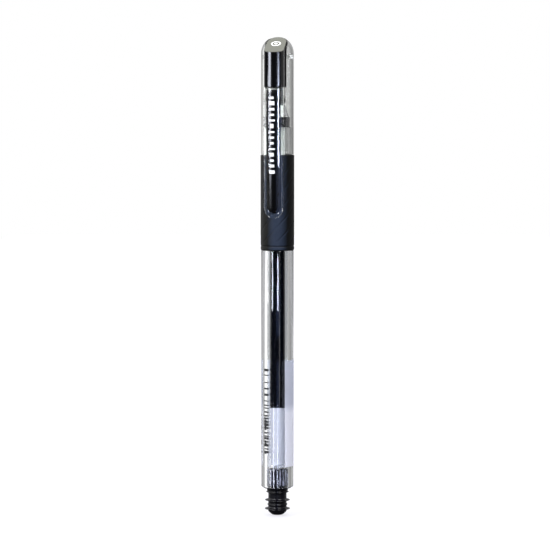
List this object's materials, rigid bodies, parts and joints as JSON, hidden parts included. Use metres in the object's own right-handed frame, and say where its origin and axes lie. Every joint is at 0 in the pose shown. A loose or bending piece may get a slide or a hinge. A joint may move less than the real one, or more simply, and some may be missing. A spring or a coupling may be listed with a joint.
{
  "type": "gel pen",
  "caption": "Capped gel ink pen with a clear barrel, rubber grip, clear cap with a pocket clip, ink refill with follower, needle tip and ringed tail plug.",
  "frame": {"origin": "on the pen's axis, in the end face of the clear barrel at its tail", "axes": "+Z along the pen towards the cap, the clip on the -Y side, +X to the right when the clip faces the viewer"},
  "size_m": [0.0104, 0.0128, 0.1479],
  "materials": {
    "clear_barrel": "clear polished moulding",
    "clear_cap": "clear polished moulding",
    "grip_rubber": "satin, shallow slanting grooves",
    "label_film": "translucent film",
    "black_plastic": "polished moulding",
    "tube_plastic": "clear extrusion",
    "ink_black": "wet",
    "follower_grease": "milky gel",
    "white_plastic": "satin moulding",
    "steel": "turned and polished",
    "carbide": "ground",
    "seal_rubber": "matt"
  },
  "bodies": {
    "barrel": {"barrel": "clear_barrel", "grip": "grip_rubber", "label": "label_film", "tail_plug": "black_plastic"},
    "front": {"nose_cone": "clear_barrel", "nose_ring": "black_plastic", "refill_tube": "tube_plastic", "ink": "ink_black", "tip_holder": "white_plastic", "check_ball": "steel", "tip_shell": "steel", "writing_ball": "carbide"},
    "follower": {"follower": "follower_grease"},
    "cap": {"cap_shell": "clear_cap", "cap_head": "black_plastic", "inner_cap": "clear_cap", "cap_plug_ring": "clear_cap", "cap_seal": "seal_rubber"},
    "clip": {"clip_arm": "clear_cap", "clip_strip": "black_plastic"}
  },
  "joints": [
    {"name": "front_draw", "type": "slide", "parent": "barrel", "child": "front", "axis": [0, 0, 1], "range_m": [0, 0.11]},
    {"name": "cap_pull", "type": "slide", "parent": "front", "child": "cap", "axis": [0, 0, 1], "range_m": [0, 0.045]},
    {"name": "clip_flex", "type": "hinge", "parent": "cap", "child": "clip", "pos_m": [0, -0.00685, 0.1235], "axis": [-1, 0, 0], "range_deg": [0, 4], "stiffness_Nm_per_rad": 4},
    {"name": "follower_travel", "type": "slide", "parent": "front", "child": "follower", "axis": [0, 0, 1], "range_m": [0, 0.066], "deforming": ["ink"]}
  ]
}
